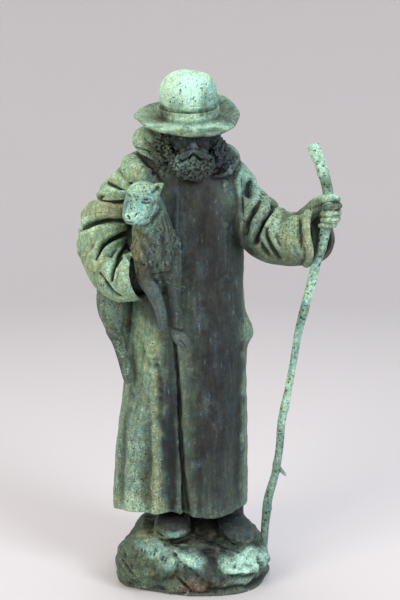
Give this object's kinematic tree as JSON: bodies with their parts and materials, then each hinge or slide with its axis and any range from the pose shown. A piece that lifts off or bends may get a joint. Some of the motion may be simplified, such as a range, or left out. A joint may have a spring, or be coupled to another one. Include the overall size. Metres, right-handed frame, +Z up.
{
  "type": "bronze figure",
  "caption": "Standing bearded shepherd in a broad hat and long coat, a lamb under one arm and a branch staff in the other hand, cast in bronze with its rock base.",
  "frame": {"origin": "on the flat underside of the rock base, near its middle", "axes": "+Z up, the shepherd faces -Y, and the staff is on the +X side"},
  "size_m": [0.4324, 0.2456, 0.87],
  "materials": {
    "casting_bronze": "cast bronze, dark brown where rain runs off and matt green verdigris elsewhere",
    "staff_bronze": "cast bronze under pale green verdigris with black specks"
  },
  "bodies": {
    "root": {"shepherd_casting": "casting_bronze", "staff": "staff_bronze"}
  },
  "joints": []
}
